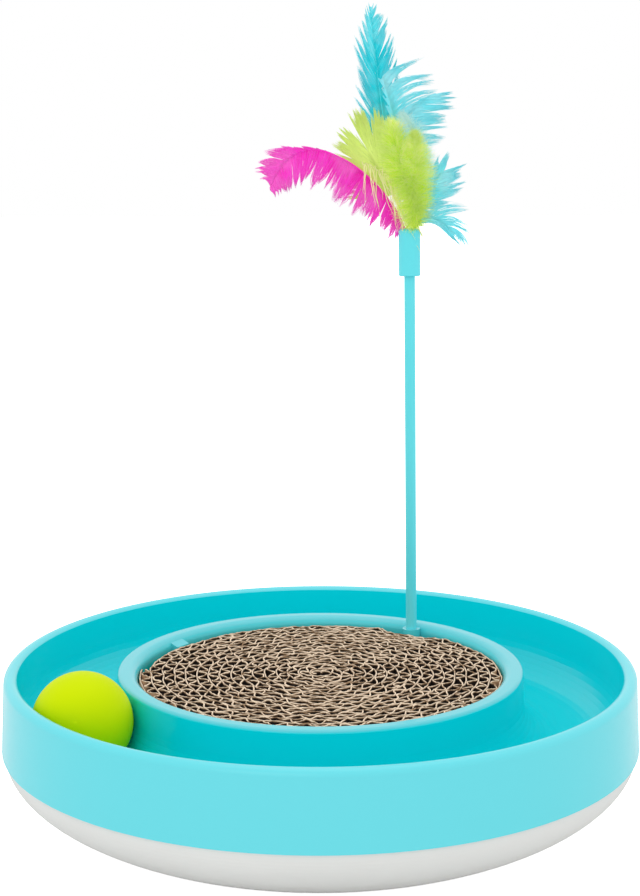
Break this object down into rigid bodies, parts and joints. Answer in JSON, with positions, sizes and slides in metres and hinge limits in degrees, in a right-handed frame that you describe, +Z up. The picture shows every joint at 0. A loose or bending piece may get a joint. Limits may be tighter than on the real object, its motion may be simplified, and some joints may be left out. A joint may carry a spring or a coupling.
{
  "type": "cat ball track toy",
  "caption": "Round pet toy: a ball in an annular track round a corrugated scratch pad, with a feather wand standing in a socket.",
  "frame": {"origin": "on the floor, on the tray's axis", "axes": "+Z up along the tray's axis, -Y towards the front as pictured, with the ball at the front left and the wand at the back right"},
  "size_m": [0.2492, 0.2492, 0.3135],
  "materials": {
    "aqua_plastic": "satin gloss moulded plastic, light aqua",
    "white_plastic": "satin white moulded plastic",
    "screw_steel": "zinc plated steel",
    "foot_rubber": "soft matte rubber",
    "lime_plastic": "gloss lime plastic",
    "kraft_liner": "bare kraft paper",
    "kraft_fluting": "bare kraft paper, darker inside",
    "wand_plastic": "satin moulded plastic, aqua",
    "clear_glue": "set hot-melt glue",
    "cyan_feather": "dyed feather",
    "lime_feather": "dyed feather and down",
    "magenta_feather": "dyed feather"
  },
  "bodies": {
    "tray": {"track_tray": "aqua_plastic", "base_bowl": "white_plastic", "base_screws": "screw_steel", "rubber_feet": "foot_rubber"},
    "ball": {"ball_front_half": "lime_plastic", "ball_back_half": "lime_plastic"},
    "pad": {"pad_liner": "kraft_liner", "pad_fluting": "kraft_fluting"},
    "wand": {"wand_rod": "wand_plastic", "wand_ferrule": "wand_plastic", "quill_plug": "clear_glue", "feather_cyan_tall": "cyan_feather", "feather_cyan_curl": "cyan_feather", "feather_cyan_middle": "cyan_feather", "feather_cyan_right": "cyan_feather", "feather_cyan_low": "cyan_feather", "feather_lime_vane": "lime_feather", "feather_lime_down": "lime_feather", "feather_magenta": "magenta_feather"}
  },
  "joints": [
    {"name": "ball_orbit", "type": "hinge", "parent": "tray", "child": "ball", "pos_m": [0, 0, 0], "axis": [0, 0, 1], "continuous": true},
    {"name": "pad_lift", "type": "slide", "parent": "tray", "child": "pad", "axis": [0, 0, 1], "range_m": [0, 0.04]},
    {"name": "wand_lift", "type": "slide", "parent": "tray", "child": "wand", "axis": [-0.0105, 0, 0.9999], "range_m": [0, 0.04]}
  ]
}
